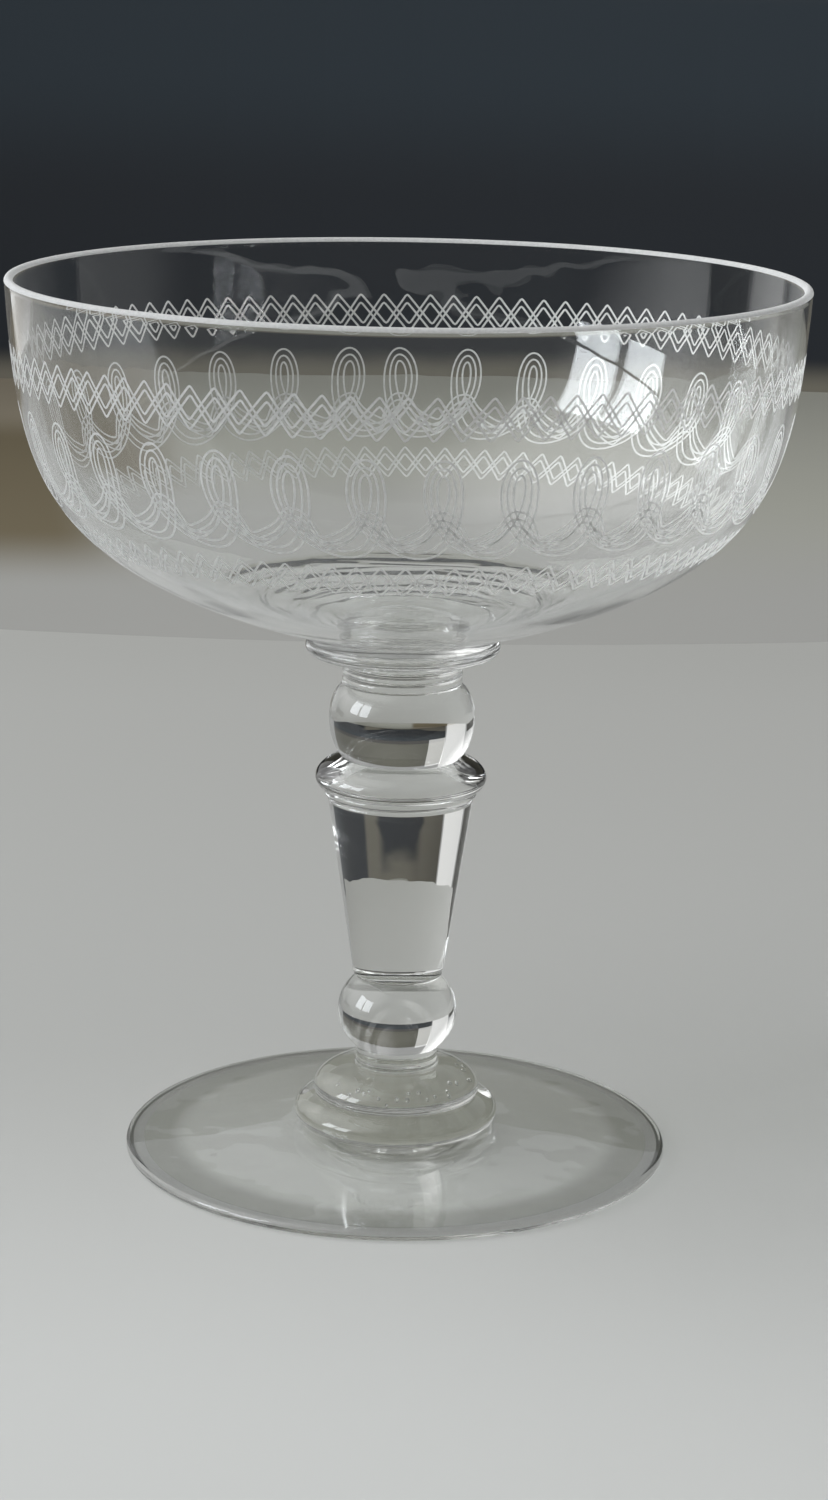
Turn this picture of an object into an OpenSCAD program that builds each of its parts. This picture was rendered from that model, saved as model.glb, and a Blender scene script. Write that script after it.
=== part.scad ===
// Coupe glass: a wide, shallow bowl on a built-up stem and a round foot.
// It stands on z = 0 with its axis on Z. Each piece is a gather of glass that was shaped
// by itself and fused to the next one while hot, so each ends in flat seats that meet
// its neighbours face to face.

/* [Bowl] */
// Outer diameter of the bowl at its rim
rim_d = 100; // [85:1:115]
// Height of the bowl from its seat to its rim
bowl_h = 45.95; // [38:0.05:54]
// Thickness of the bowl's wall at its rim
rim_wall = 1.1; // [0.9:0.1:2]
// Thickness of the bowl's wall beside its seat
base_wall = 1.2; // [1:0.1:3]
// Thickness of the glass at the middle of the bowl's floor
bowl_floor = 1.7; // [1.2:0.1:4]
// Diameter of the flat seat under the bowl
bowl_seat_d = 23.2; // [18:0.2:25]
// Height of the plain step between that seat and the flare of the bowl
bowl_step = 0.8; // [0.3:0.1:1.5]

/* [Bowl collar] */
// Diameter of the thin disc that carries the bowl
bowl_collar_d = 24.9; // [23:0.1:30]
// Height of the disc with its sloping underside
bowl_collar_h = 2.7; // [2:0.1:4]

/* [Upper stem] */
// Diameter of the neck below the bowl collar
upper_neck_d = 15.4; // [12:0.1:18]
// Height of the neck below the bowl collar
upper_neck_h = 2.9; // [2:0.1:5]
// Depth of the fine grooves round that neck and above the ring collar's lip
groove = 0.15; // [0.05:0.05:0.3]
// Diameter of the upper knop where it is widest
upper_knop_d = 18.7; // [17:0.1:24]
// Height of the upper knop
upper_knop_h = 9.6; // [7:0.1:12]
// Diameter of the upper knop's seat on the ring collar
upper_knop_foot_d = 15; // [12:0.1:17]

/* [Ring collar] */
// Diameter of the ring collar where it is widest
ring_collar_d = 22; // [21:0.1:28]
// Height of the ring collar
ring_collar_h = 5.2; // [4:0.1:7]
// Diameter of the lip under the ring collar
ring_lip_d = 19.6; // [19:0.1:21]
// Height of that lip
ring_lip_h = 1; // [0.6:0.1:1.8]

/* [Shank] */
// Diameter of the tapered shank at its head
shank_head_d = 18.6; // [15:0.1:19]
// Diameter of the tapered shank at its lower end
shank_foot_d = 11.7; // [9:0.1:14]
// Height of the tapered shank
shank_h = 24.1; // [18:0.1:40]
// Radius of the shank's softened ends
shank_round = 0.5; // [0.2:0.1:1]

/* [Lower stem] */
// Diameter of the lower knop where it is widest
lower_knop_d = 15.5; // [14:0.1:20]
// Height of the lower knop
lower_knop_h = 9.45; // [7:0.05:13]
// Diameter of the neck below the lower knop
lower_neck_d = 11; // [9:0.1:13]
// Height of the neck below the lower knop
lower_neck_h = 2.5; // [1.5:0.1:5]
// How far that neck draws in at half its height
lower_neck_waist = 0.2; // [0.05:0.05:0.5]

/* [Boss] */
// Diameter of the boss's domed upper tier
boss_cap_d = 21.6; // [17:0.1:22]
// Height of the upper tier
boss_cap_h = 4; // [3:0.1:6]
// Diameter of the crease between the two tiers
boss_crease_d = 21.1; // [16:0.1:21.5]
// Diameter of the lower tier where it is widest
boss_base_d = 26.5; // [24:0.1:32]
// Height of the lower tier
boss_base_h = 3.55; // [2.5:0.05:6]
// Diameter of the lower tier's seat on the foot
boss_seat_d = 25.4; // [20:0.1:26.5]

/* [Foot] */
// Diameter of the foot
foot_d = 70.7; // [60:0.1:85]
// Thickness of the foot at its rounded edge
foot_edge = 1.3; // [1:0.1:2.4]
// Height of the foot in the middle, where the boss is seated
foot_h = 3.7; // [3:0.1:6]
// Width of the ground ring that touches the table
foot_rest_w = 1.8; // [1:0.1:4]
// Height of the hollow under the middle of the foot
foot_hollow = 2; // [0.3:0.1:2.6]

/* [Hidden] */

// Clear glass with a faint grey-green cast
glass_tint = [0.85, 0.89, 0.87];
// Segments round the axis, and steps along a curve and along a small round
$fn = 128;
curve_steps = 28;
round_steps = 8;

// Heights of the seats, from the table up
boss_base_z = foot_h;
boss_cap_z = boss_base_z + boss_base_h;
lower_neck_z = boss_cap_z + boss_cap_h;
lower_knop_z = lower_neck_z + lower_neck_h;
shank_z = lower_knop_z + lower_knop_h;
ring_collar_z = shank_z + shank_h;
upper_knop_z = ring_collar_z + ring_collar_h;
upper_neck_z = upper_knop_z + upper_knop_h;
bowl_collar_z = upper_neck_z + upper_neck_h;
bowl_z = bowl_collar_z + bowl_collar_h;

// Handles of the bowl's outside curve, as shares of the rim's radius and of the height.
// The first handle lies below the rim and the second beside the floor.
outer_rim_handle_shares = [0.966, 0.439];
outer_floor_handle_shares = [0.92, 0.232];

// Inside floor of the bowl: reach of its two handles, as shares of the floor's radius
floor_handle_shares = [0.1, 0.55];

// Height of each bead's widest place, as a share of the bead's height
upper_knop_wide_share = 0.54;
lower_knop_wide_share = 0.5;
ring_collar_wide_share = 0.36;
boss_cap_wide_share = 0.2;
boss_base_wide_share = 0.36;
small_ring_wide_share = 0.5;

// How far each bead's side turns in towards its seats, in degrees
knop_turn = 68;
pear_turn = 42;
ring_turn = 66;
cap_turn = 86;

// Bowl collar: the edge disc's shares of the height, and its rounded corner
collar_edge_low_share = 0.32;
collar_edge_wide_share = 0.62;
collar_top_in_share = 0.96;
collar_low_in_share = 0.9;

// Foot: places along the flare of its upper face, as shares of its span and rise
foot_flare_shares = [[0.33, 0.25], [0.72, 0.62]];

// Foot: places along its hollow, as shares of the rest ring's inner radius and of the hollow
foot_hollow_shares = [[0.395, 1], [0.608, 0.26]];

// Points of a cubic curve from a to d, with handles b and c
function curve(a, b, c, d) = [
    for (i = [0:curve_steps])
        let (t = i / curve_steps, s = 1 - t)
        s * s * s * a + 3 * s * s * t * b + 3 * s * t * t * c + t * t * t * d
];

// Direction of the same curve at each of those points
function curve_way(a, b, c, d) = [
    for (i = [0:curve_steps])
        let (t = i / curve_steps, s = 1 - t,
             way = s * s * (b - a) + 2 * s * t * (c - b) + t * t * (d - c))
        way / norm(way)
];

// Points of a round side from its low seat up to its wide place
function side_up(low_r, wide_r, h, turn) = [
    for (i = [0:round_steps])
        let (a = turn * (1 - i / round_steps))
        [wide_r - (wide_r - low_r) * (1 - cos(a)) / (1 - cos(turn)),
         h * (1 - sin(a) / sin(turn))]
];

// Points of a whole bead, from its low seat over its wide place to its top seat
function bead(low_r, wide_r, top_r, h, wide_share, turn) = concat(
    side_up(low_r, wide_r, h * wide_share, turn),
    [for (i = [1:round_steps])
        let (p = side_up(top_r, wide_r, h * (1 - wide_share), turn)[round_steps - i])
        [p[0], h - p[1]]]
);

// Points of a circular arc round centre c
function arc(c, r, from_a, to_a) = [
    for (i = [0:round_steps])
        let (a = from_a + (to_a - from_a) * i / round_steps)
        c + r * [cos(a), sin(a)]
];

// The same outline, raised by dz
function raised(points, dz) = [for (p = points) [p[0], p[1] + dz]];

// A solid of revolution from a side outline that runs upwards, standing at height z
module turned(side, z) {
    low = side[0][1];
    high = side[len(side) - 1][1];
    color(glass_tint)
        translate([0, 0, z])
            rotate_extrude()
                polygon(concat([[0, low]], side, [[0, high]]));
}

// A thin wall of nearly even thickness follows the outside down to a shallow floor
module bowl() {
    rim_r = rim_d / 2;
    lip_r = rim_wall / 2;
    low = [bowl_seat_d / 2, bowl_step];
    low_handle = [rim_r * outer_floor_handle_shares[0], bowl_h * outer_floor_handle_shares[1]];
    high_handle = [rim_r * outer_rim_handle_shares[0], bowl_h * outer_rim_handle_shares[1]];
    high = [rim_r, bowl_h - lip_r];
    outside = curve(low, low_handle, high_handle, high);
    way = curve_way(low, low_handle, high_handle, high);
    rim = arc([rim_r - lip_r, bowl_h - lip_r], lip_r, 0, 180);
    inside = [
        for (i = [curve_steps - 1:-1:0])
            let (s = 1 - i / curve_steps,
                 wall = rim_wall + (base_wall - rim_wall) * s * s * s)
            outside[i] + wall * [-way[i][1], way[i][0]]
    ];
    edge = inside[curve_steps - 1];
    pool = curve(edge, edge - edge[0] * floor_handle_shares[0] * way[0],
                 [edge[0] * floor_handle_shares[1], bowl_floor], [0, bowl_floor]);
    color(glass_tint)
        translate([0, 0, bowl_z])
            rotate_extrude()
                polygon(concat([[0, 0], [bowl_seat_d / 2, 0]], outside,
                               [for (i = [1:round_steps]) rim[i]], inside,
                               [for (i = [1:curve_steps]) pool[i]]));
}

// A thin disc with a rounded edge, whose underside slopes down to the neck
module bowl_collar() {
    edge_r = bowl_collar_d / 2;
    edge_low_z = bowl_collar_h * collar_edge_low_share;
    edge = bead(edge_r * collar_low_in_share, edge_r, edge_r * collar_top_in_share,
                bowl_collar_h - edge_low_z, collar_edge_wide_share, ring_turn);
    turned(concat([[upper_neck_d / 2, 0]], raised(edge, edge_low_z)), bowl_collar_z);
}

// Three low rings, one on the other, with a fine groove between each two
module upper_neck() {
    neck_r = upper_neck_d / 2;
    rings = 3;
    ring_h = upper_neck_h / rings;
    side = [
        for (k = [0:rings - 1])
            for (p = bead(neck_r - groove, neck_r, neck_r - groove, ring_h, small_ring_wide_share, ring_turn))
                [p[0], p[1] + k * ring_h]
    ];
    turned([for (i = [0:len(side) - 1]) if (i == 0 || norm(side[i] - side[i - 1]) > 0) side[i]],
           upper_neck_z);
}

module upper_knop() {
    turned(bead(upper_knop_foot_d / 2, upper_knop_d / 2, upper_neck_d / 2 - groove,
                upper_knop_h, upper_knop_wide_share, knop_turn),
           upper_knop_z);
}

// A flattened ring with a domed top, and a narrow lip where it meets the shank
module ring_collar() {
    lip = bead(shank_head_d / 2, ring_lip_d / 2, ring_lip_d / 2 - groove,
               ring_lip_h, small_ring_wide_share, ring_turn);
    ring = bead(ring_lip_d / 2, ring_collar_d / 2, upper_knop_foot_d / 2,
                ring_collar_h - ring_lip_h, ring_collar_wide_share, ring_turn);
    turned(concat(lip, raised(ring, ring_lip_h)), ring_collar_z);
}

// A round, solid cone with softened ends
module tapered_shank() {
    foot_r = shank_foot_d / 2;
    head_r = shank_head_d / 2;
    low = arc([foot_r - shank_round, shank_round], shank_round, -90, 0);
    high = arc([head_r - shank_round, shank_h - shank_round], shank_round, 0, 90);
    turned(concat(low, high), shank_z);
}

// A pear standing on its narrow end
module lower_knop() {
    turned(bead(lower_neck_d / 2, lower_knop_d / 2, shank_foot_d / 2 - shank_round,
                lower_knop_h, lower_knop_wide_share, pear_turn),
           lower_knop_z);
}

module lower_neck() {
    waist_r = lower_neck_d / 2 - lower_neck_waist;
    turned([
        for (i = [0:2 * round_steps])
            let (t = i / round_steps - 1)
            [waist_r + lower_neck_waist * t * t, lower_neck_h * (t + 1) / 2]
    ], lower_neck_z);
}

module boss_cap() {
    turned(bead(boss_crease_d / 2, boss_cap_d / 2, lower_neck_d / 2,
                boss_cap_h, boss_cap_wide_share, cap_turn),
           boss_cap_z);
}

module boss_base() {
    turned(bead(boss_seat_d / 2, boss_base_d / 2, boss_crease_d / 2,
                boss_base_h, boss_base_wide_share, knop_turn),
           boss_base_z);
}

// A low flared disc with a rounded edge, which stands on a narrow ground ring
module foot() {
    edge_r = foot_edge / 2;
    edge_x = foot_d / 2 - edge_r;
    span = edge_x - boss_seat_d / 2;
    rise = foot_h - foot_edge;
    rest_r = edge_x - foot_rest_w;
    hollow = curve([0, foot_hollow],
                   [rest_r * foot_hollow_shares[0][0], foot_hollow * foot_hollow_shares[0][1]],
                   [rest_r * foot_hollow_shares[1][0], foot_hollow * foot_hollow_shares[1][1]],
                   [rest_r, 0]);
    edge = arc([edge_x, edge_r], edge_r, -90, 90);
    flare = curve([edge_x, foot_edge],
                  [edge_x - span * foot_flare_shares[0][0], foot_edge + rise * foot_flare_shares[0][1]],
                  [edge_x - span * foot_flare_shares[1][0], foot_edge + rise * foot_flare_shares[1][1]],
                  [boss_seat_d / 2, foot_h]);
    color(glass_tint)
        rotate_extrude()
            polygon(concat(hollow, edge, [for (i = [1:curve_steps]) flare[i]], [[0, foot_h]]));
}

bowl();
bowl_collar();
upper_neck();
upper_knop();
ring_collar();
tapered_shank();
lower_knop();
lower_neck();
boss_cap();
boss_base();
foot();
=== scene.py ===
# %% [markdown]
# # A coupe glass with etched bands
#
# This lesson dresses the solids of an old stemmed coupe: a wide shallow bowl, a stem of
# knops and a ring collar, a tapered shank, a stepped boss and a round foot. Clear glass has
# almost no colour of its own. What the eye reads is its shape, its edges, the light behind
# it and the white lines that were etched into the bowl.
#
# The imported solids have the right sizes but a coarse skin. A material alone could go on
# them, but glass bends the view at its skin, and each flat facet would show. So we make each
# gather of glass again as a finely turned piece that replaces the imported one.

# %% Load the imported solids
import math

import bmesh
import bpy
from mathutils import Matrix, Vector


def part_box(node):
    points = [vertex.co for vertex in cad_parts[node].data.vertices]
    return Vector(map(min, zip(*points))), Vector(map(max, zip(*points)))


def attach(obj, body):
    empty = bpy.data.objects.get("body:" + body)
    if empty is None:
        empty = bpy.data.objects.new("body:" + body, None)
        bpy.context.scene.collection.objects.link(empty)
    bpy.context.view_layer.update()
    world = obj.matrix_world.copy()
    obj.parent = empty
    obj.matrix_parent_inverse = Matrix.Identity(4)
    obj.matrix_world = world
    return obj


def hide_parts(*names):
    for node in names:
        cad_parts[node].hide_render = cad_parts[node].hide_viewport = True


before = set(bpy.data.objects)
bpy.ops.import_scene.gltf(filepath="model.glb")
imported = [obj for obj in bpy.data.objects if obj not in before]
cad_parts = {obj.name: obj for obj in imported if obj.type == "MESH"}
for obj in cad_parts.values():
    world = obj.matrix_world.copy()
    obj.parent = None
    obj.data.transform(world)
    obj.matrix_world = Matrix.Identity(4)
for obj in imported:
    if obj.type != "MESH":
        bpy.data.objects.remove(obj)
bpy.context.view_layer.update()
mm = 0.001
print("nodes:", sorted(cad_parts))

# %% [markdown]
# ## The camera
#
# The photograph looks down on the rim by about fourteen degrees from not quite half a
# metre. A long lens that far away keeps the two ellipses, rim and foot, in the right
# proportion to one another. We could turn the camera by eye, but a matrix made from its
# three angles is exact and says what each angle does.

# %% Place the camera
film_h = 36.0
focal_share = 2.33833                   # focal length as a share of the frame's height
camera_back, camera_up = 436.6 * mm, 162.1 * mm
pitch, roll, pan = math.radians(14.0), math.radians(0.987), math.radians(0.214)


def aimed(pitch, roll, pan):
    """Axes of a camera that looks along +Y, turned by pan, tipped by pitch, then rolled."""
    ahead = Vector((math.sin(pan) * math.cos(pitch), math.cos(pan) * math.cos(pitch),
                    -math.sin(pitch)))
    side = Vector((math.cos(pan), -math.sin(pan), 0))
    above = side.cross(ahead)
    right = math.cos(roll) * side + math.sin(roll) * above
    up = math.cos(roll) * above - math.sin(roll) * side
    return Matrix((right, up, -ahead)).transposed()


lens = bpy.data.cameras.new("camera")
lens.sensor_fit = "VERTICAL"
lens.sensor_height = film_h
lens.lens = focal_share * film_h
lens.clip_start, lens.clip_end = 0.01, 20
camera = bpy.data.objects.new("camera", lens)
bpy.context.collection.objects.link(camera)
camera.matrix_world = (Matrix.Translation((0, -camera_back, camera_up))
                       @ aimed(pitch, roll, pan).to_4x4())
bpy.context.scene.camera = camera
print("lens, mm:", round(lens.lens, 2))

# %% [markdown]
# ## A new piece of glass
#
# The real glass is one rigid body, so each piece rides on the one body that the packed
# model has. We could write these lines out for every piece. A helper that makes the object,
# hands it its finishes and hides the solid it stands in for forgets none of the fifteen.

# %% Make a piece


def new_piece(name, mesh, finishes, node=None):
    """Makes an object of a mesh, rides it on the body and gives it its finishes."""
    for finish in finishes:
        mesh.materials.append(finish)
    piece = bpy.data.objects.new(name, mesh)
    bpy.context.collection.objects.link(piece)
    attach(piece, "root")
    if node:
        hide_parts(node)
    print(f"{name}: {len(mesh.polygons)} faces")
    return piece


def as_mesh(name, bm):
    """Turns a bmesh into a mesh and frees it."""
    mesh = bpy.data.meshes.new(name)
    bm.to_mesh(mesh)
    bm.free()
    return mesh


# %% [markdown]
# ## Turning
#
# The glassworker spins the iron all the time, so nearly every piece is round. One helper
# spins an outline round the axis: it takes points from the pole below to the pole above,
# joins the rings with quads, and marks an edge sharp where the outline turns a corner.
# Blender's Screw modifier could do it, but with our own rings we can give each band of
# faces its own finish.

# %% Turn an outline
around = 256                            # columns of faces round the axis
sharp_turn = math.radians(38)
pole_r = 1e-7                           # a smaller radius than this is a pole


def band(low, high, k):
    """Corners of face k between two rings. A ring of one point is a pole."""
    n = (k + 1) % around
    if len(low) == 1:
        return low[0], high[n], high[k]
    if len(high) == 1:
        return low[k], low[n], high[0]
    return low[k], low[n], high[n], high[k]


def way(a, b):
    """The way from one point of an outline to the next."""
    return Vector((b[0] - a[0], b[1] - a[1]))


def turned(name, outline, finish_of):
    """A closed solid of revolution. The outline runs from the axis below to the axis above."""
    bm = bmesh.new()
    angles = [2 * math.pi * k / around for k in range(around)]
    rings = [[bm.verts.new((0, 0, z))] if r < pole_r else
             [bm.verts.new((r * math.cos(a), r * math.sin(a), z)) for a in angles]
             for r, z in outline]
    for i in range(len(rings) - 1):
        slot = finish_of(outline[i], outline[i + 1])
        for k in range(around):
            face = bm.faces.new(band(rings[i], rings[i + 1], k))
            face.smooth = True
            face.material_index = slot
    for i in range(1, len(rings) - 1):
        before, after = way(outline[i - 1], outline[i]), way(outline[i], outline[i + 1])
        if before.angle(after, 0) > sharp_turn:
            for k in range(around):
                bm.edges.get((rings[i][k], rings[i][(k + 1) % around])).smooth = False
    bm.normal_update()
    return as_mesh(name, bm)


print("columns round the axis:", around)

# %% [markdown]
# ## Building finishes from nodes
#
# A finish is a small network of nodes. We could place them by hand in the shader editor,
# but written down they can be read, changed and made the same way on every run. These
# helpers add a node, wire several at once, turn a measure into a share from 0 to 1, and
# blend two colours by such a share.

# %% Node helpers


def new_material(name):
    """An empty node material with its output."""
    material = bpy.data.materials.new(name)
    material.use_nodes = True
    material.node_tree.nodes.clear()
    out = add_node(material.node_tree, "ShaderNodeOutputMaterial", (700, 0))
    return material, material.node_tree, out


def add_node(tree, kind, place=(0, 0), **settings):
    """Adds a shader node, sets its plain properties, and its sockets by name."""
    node = tree.nodes.new(kind)
    node.location = place
    for key, value in settings.items():
        if hasattr(node, key):
            setattr(node, key, value)
        else:
            node.inputs[key.replace("_", " ")].default_value = value
    return node


def wire(tree, *ends):
    """Links an output to an input, then the next output to the next input, and so on."""
    for source, target in zip(ends[::2], ends[1::2]):
        tree.links.new(source, target)


def ranged(tree, value, start, end, place, low=0.0, high=1.0, kind="LINEAR"):
    """A number that goes from low, where the value is start, to high, where it is end."""
    node = add_node(tree, "ShaderNodeMapRange", place, interpolation_type=kind)
    for socket, level in (("From Min", start), ("From Max", end), ("To Min", low),
                          ("To Max", high)):
        node.inputs[socket].default_value = level
    wire(tree, value, node.inputs["Value"])
    return node.outputs["Result"]


def zone(tree, value, start, end, place):
    """A share that grows smoothly from 0, where the value is start, to 1 at end."""
    return ranged(tree, value, start, end, place, kind="SMOOTHSTEP")


def blended(tree, share, first, second, place):
    """Mixes two colours by a share. Each is three numbers or the output of a node."""
    node = add_node(tree, "ShaderNodeMix", place, data_type="RGBA")
    wire(tree, share, node.inputs["Factor"])
    for name, colour in (("A", first), ("B", second)):
        if isinstance(colour, tuple):
            node.inputs[name].default_value = (*colour, 1)
        else:
            wire(tree, colour, node.inputs[name])
    return node.outputs["Result"]


print("materials before the first finish:", len(bpy.data.materials))

# %% [markdown]
# ## Marks of the tool, and a ring of painted shade
#
# Low down in the bowl the real glass shows bold soft folds, left where the tool opened it.
# They could be modelled, but they are far shallower than the wall is thick, so a bump does
# it: noise drawn out round the axis, which fades above the floor. Under the foot, a ring just
# inside the rest has painted shade: there the glass takes up more light, by a change of its
# colour with the distance from the axis, to stand for the shade on the floor under the rim.

# %% Tool marks and the ring of painted shade
broken_up = 0.14                        # how much the rings also change along their way


def tool_marks(tree, coords, under, spacing, depth, end, fade):
    """A bump of uneven rings, so far apart and so deep, that fades out on the way up to end."""
    plan = add_node(tree, "ShaderNodeVectorMath", (-1500, -700), operation="MULTIPLY")
    plan.inputs[1].default_value = (1 / spacing, 1 / spacing, 0)
    reach = add_node(tree, "ShaderNodeVectorMath", (-1300, -800), operation="LENGTH")
    rings = add_node(tree, "ShaderNodeCombineXYZ", (-1150, -800))
    drawn = add_node(tree, "ShaderNodeVectorMath", (-1000, -700), operation="MULTIPLY_ADD")
    drawn.inputs[1].default_value = (broken_up, broken_up, 0)
    close = add_node(tree, "ShaderNodeTexNoise", (-800, -650),
                     Scale=1.0, Detail=2.0, Distortion=0.5)
    place = add_node(tree, "ShaderNodeSeparateXYZ", (-800, -500))
    low = zone(tree, place.outputs["Z"], end, end - fade, (-600, -500))
    share = add_node(tree, "ShaderNodeMath", (-400, -550), operation="MULTIPLY")
    bump = add_node(tree, "ShaderNodeBump", (-100, -450), Strength=1.0, Distance=depth)
    wire(tree, coords, plan.inputs[0], plan.outputs["Vector"], reach.inputs[0],
         reach.outputs["Value"], rings.inputs["Z"], plan.outputs["Vector"], drawn.inputs[0],
         rings.outputs["Vector"], drawn.inputs[2], drawn.outputs["Vector"],
         close.inputs["Vector"], coords, place.inputs["Vector"])
    wire(tree, close.outputs["Fac"], share.inputs[0], low, share.inputs[1],
         share.outputs["Value"], bump.inputs["Height"], under, bump.inputs["Normal"])
    return bump.outputs["Normal"]


def painted_shade_ring(tree, coords, cast, start, full, painted_shade_cast):
    """The cast of the glass, which turns to a darker cast between two distances from the axis: a
    painted shade.
    """
    flat = add_node(tree, "ShaderNodeVectorMath", (-1500, 500), operation="MULTIPLY")
    flat.inputs[1].default_value = (1, 1, 0)
    radius = add_node(tree, "ShaderNodeVectorMath", (-1300, 500), operation="LENGTH")
    wire(tree, coords, flat.inputs[0], flat.outputs["Vector"], radius.inputs[0])
    ring = zone(tree, radius.outputs["Value"], start, full, (-1000, 500))
    return blended(tree, ring, cast, painted_shade_cast, (-100, 400))


print("rings change along their way by:", broken_up)

# %% [markdown]
# ## Clear old glass
#
# This is a colourless lead glass with a faint cast. A Glass shader could stand for it, but
# a Principled shader with full transmission also carries the thin film of dust that
# whitens the bowl where it is seen at a low angle. Glass worked by hand is never quite
# flat, so a very weak, broad bump makes the reflections wander. Bent light takes a great
# many samples to gather into a soft shadow. For shadow rays alone the skin is therefore
# plainly see-through, and each skin takes a small share of the light away.

# %% Clear glass
glass_ior = 1.52
film_spread = 0.35                      # roughness of the film of dust
haze_from, haze_to = 0.45, 0.75         # levels of the noise between which the haze grows


def clear_glass(name, cast, wave_size, wave_height, smear, shadow, film=0.0,
                marks=None, painted_shade=None):
    """Clear glass: cast is its colour, the waves are those of hot tooling, smear is haze.

    Shadow is the share of light that a skin lets through and film the dust on it. Marks are
    (spacing, depth, height at which they end, fade), and the ring of painted shade is
    (radius where it starts, radius where it is full, cast).
    """
    material, tree, out = new_material(name)
    coords = add_node(tree, "ShaderNodeTexCoord", (-1700, 0)).outputs["Object"]
    waves = add_node(tree, "ShaderNodeTexNoise", (-800, -250),
                     Scale=1 / wave_size, Detail=2.0, Roughness=0.45)
    patches = add_node(tree, "ShaderNodeTexNoise", (-800, 150),
                       Scale=0.6 / wave_size, Detail=4.0, Roughness=0.6)
    haze = ranged(tree, patches.outputs["Fac"], haze_from, haze_to, (-500, 150), high=smear)
    bump = add_node(tree, "ShaderNodeBump", (-300, -250), Strength=1.0, Distance=wave_height)
    shader = add_node(tree, "ShaderNodeBsdfPrincipled", (250, 0), Base_Color=(*cast, 1),
                      Transmission_Weight=1.0, IOR=glass_ior, Sheen_Weight=film,
                      Sheen_Roughness=film_spread)
    ray = add_node(tree, "ShaderNodeLightPath", (250, 300))
    shade = add_node(tree, "ShaderNodeBsdfTransparent", (250, -350),
                     Color=(*(shadow * c for c in cast), 1))
    choice = add_node(tree, "ShaderNodeMixShader", (500, 0))
    wire(tree, coords, waves.inputs["Vector"], coords, patches.inputs["Vector"],
         waves.outputs["Fac"], bump.inputs["Height"], haze, shader.inputs["Roughness"])
    normal = bump.outputs["Normal"]
    if marks:
        normal = tool_marks(tree, coords, normal, *marks)
    if painted_shade:
        wire(tree, painted_shade_ring(tree, coords, cast, *painted_shade), shader.inputs["Base Color"])
    wire(tree, normal, shader.inputs["Normal"], ray.outputs["Is Shadow Ray"],
         choice.inputs["Fac"], shader.outputs["BSDF"], choice.inputs[1],
         shade.outputs["BSDF"], choice.inputs[2], choice.outputs["Shader"],
         out.inputs["Surface"])
    return material


print("glass bends light by an index of", glass_ior)

# %% [markdown]
# ## Four kinds of clear glass
#
# One glass with one set of numbers would be true to the melt, but not to the eye. The thick
# stem takes up more colour than the thin bowl, its waves are closer together because it
# was worked more, and only the bowl has dust and tool marks. The underside of the foot has
# the foot's glass once more, with a ring of painted shade.

# %% Glass for the bowl, the stem and the foot
foot_cast = (0.965, 0.968, 0.955)
bowl_glass = clear_glass("clear_glass_bowl", (0.975, 0.98, 0.972), 16 * mm, 0.06 * mm,
                         0.0, 0.95, film=0.20, marks=(3.2 * mm, 0.85 * mm, 73 * mm, 2.5 * mm))
stem_glass = clear_glass("clear_glass_stem", (0.90, 0.905, 0.885), 7 * mm, 0.035 * mm,
                         0.0, 0.86)
foot_glass = clear_glass("clear_glass_foot", foot_cast, 12 * mm, 0.07 * mm, 0.01, 0.84)
# Just inside the rest this glass turns darker by its colour: painted shade for the floor under
# the rim.
painted_shade_glass = clear_glass("painted_shade_underside", foot_cast, 12 * mm, 0.07 * mm, 0.02, 0.76,
                         painted_shade=(27 * mm, 30 * mm, (0.62, 0.625, 0.60)))
print("glass:", bowl_glass.name, stem_glass.name, foot_glass.name, painted_shade_glass.name)

# %% [markdown]
# ## The seats between the gathers
#
# Each gather of glass was fused to the next while hot, so light crosses the seat as if
# nothing were there. We could join all pieces into one mesh, but then they would no longer
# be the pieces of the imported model. Instead the faces of each seat get a finish that lets
# everything through, and the stem reads as one body of glass with creases.

# %% Fused seat
fused_seat, tree, out = new_material("fused_seat")
see_through = add_node(tree, "ShaderNodeBsdfTransparent", (300, 0))
wire(tree, see_through.outputs["BSDF"], out.inputs["Surface"])
print("seat finish:", fused_seat.name)

# %% [markdown]
# ## Etched and ground glass
#
# Acid or a grinding wheel leaves the surface full of tiny pits, which scatter light in all
# directions: against the dark it looks white, and against a pale ground it is hardly seen.
# Rough glass would be the textbook way, but it needs many samples to look smooth. We mix a
# white that scatters back with one that glows through, leave a share of it clear, and let
# fine noise break the white up as the pits do.

# %% Etched glass
deepest_pit = 0.83                      # tone at the bottom of a pit


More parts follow.
